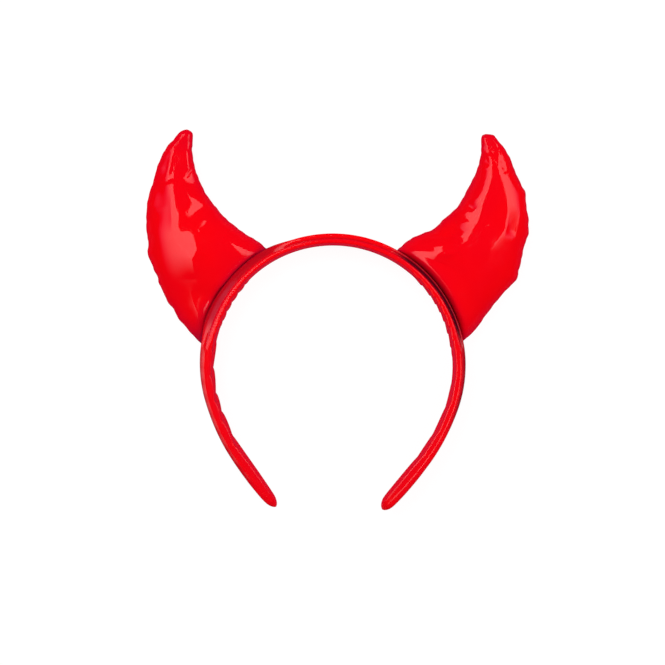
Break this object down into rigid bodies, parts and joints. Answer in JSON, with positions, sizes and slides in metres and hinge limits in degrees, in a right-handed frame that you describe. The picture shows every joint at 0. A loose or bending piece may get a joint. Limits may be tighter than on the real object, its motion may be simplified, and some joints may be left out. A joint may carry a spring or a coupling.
{
  "type": "devil horns headband",
  "caption": "Stiff glossy vinyl-covered headband with a curved, stuffed vinyl horn sewn on at each side of its crown.",
  "frame": {"origin": "bottom centre of the bounding box, on the table that the headband lies on with its back down", "axes": "+Z towards the side that faces forwards when worn, +Y from the leg ends to the crown, +X to the viewer's right"},
  "size_m": [0.2026, 0.201, 0.0246],
  "materials": {
    "band_vinyl": "wet-look red vinyl",
    "lining_vinyl": "wet-look red vinyl, gathered",
    "horn_vinyl": "wet-look red vinyl over stuffing"
  },
  "bodies": {
    "root": {"band_outer_cover": "band_vinyl", "band_inner_cover": "lining_vinyl", "left_horn_front": "horn_vinyl", "left_horn_back": "horn_vinyl", "right_horn_front": "horn_vinyl", "right_horn_back": "horn_vinyl"}
  },
  "joints": []
}
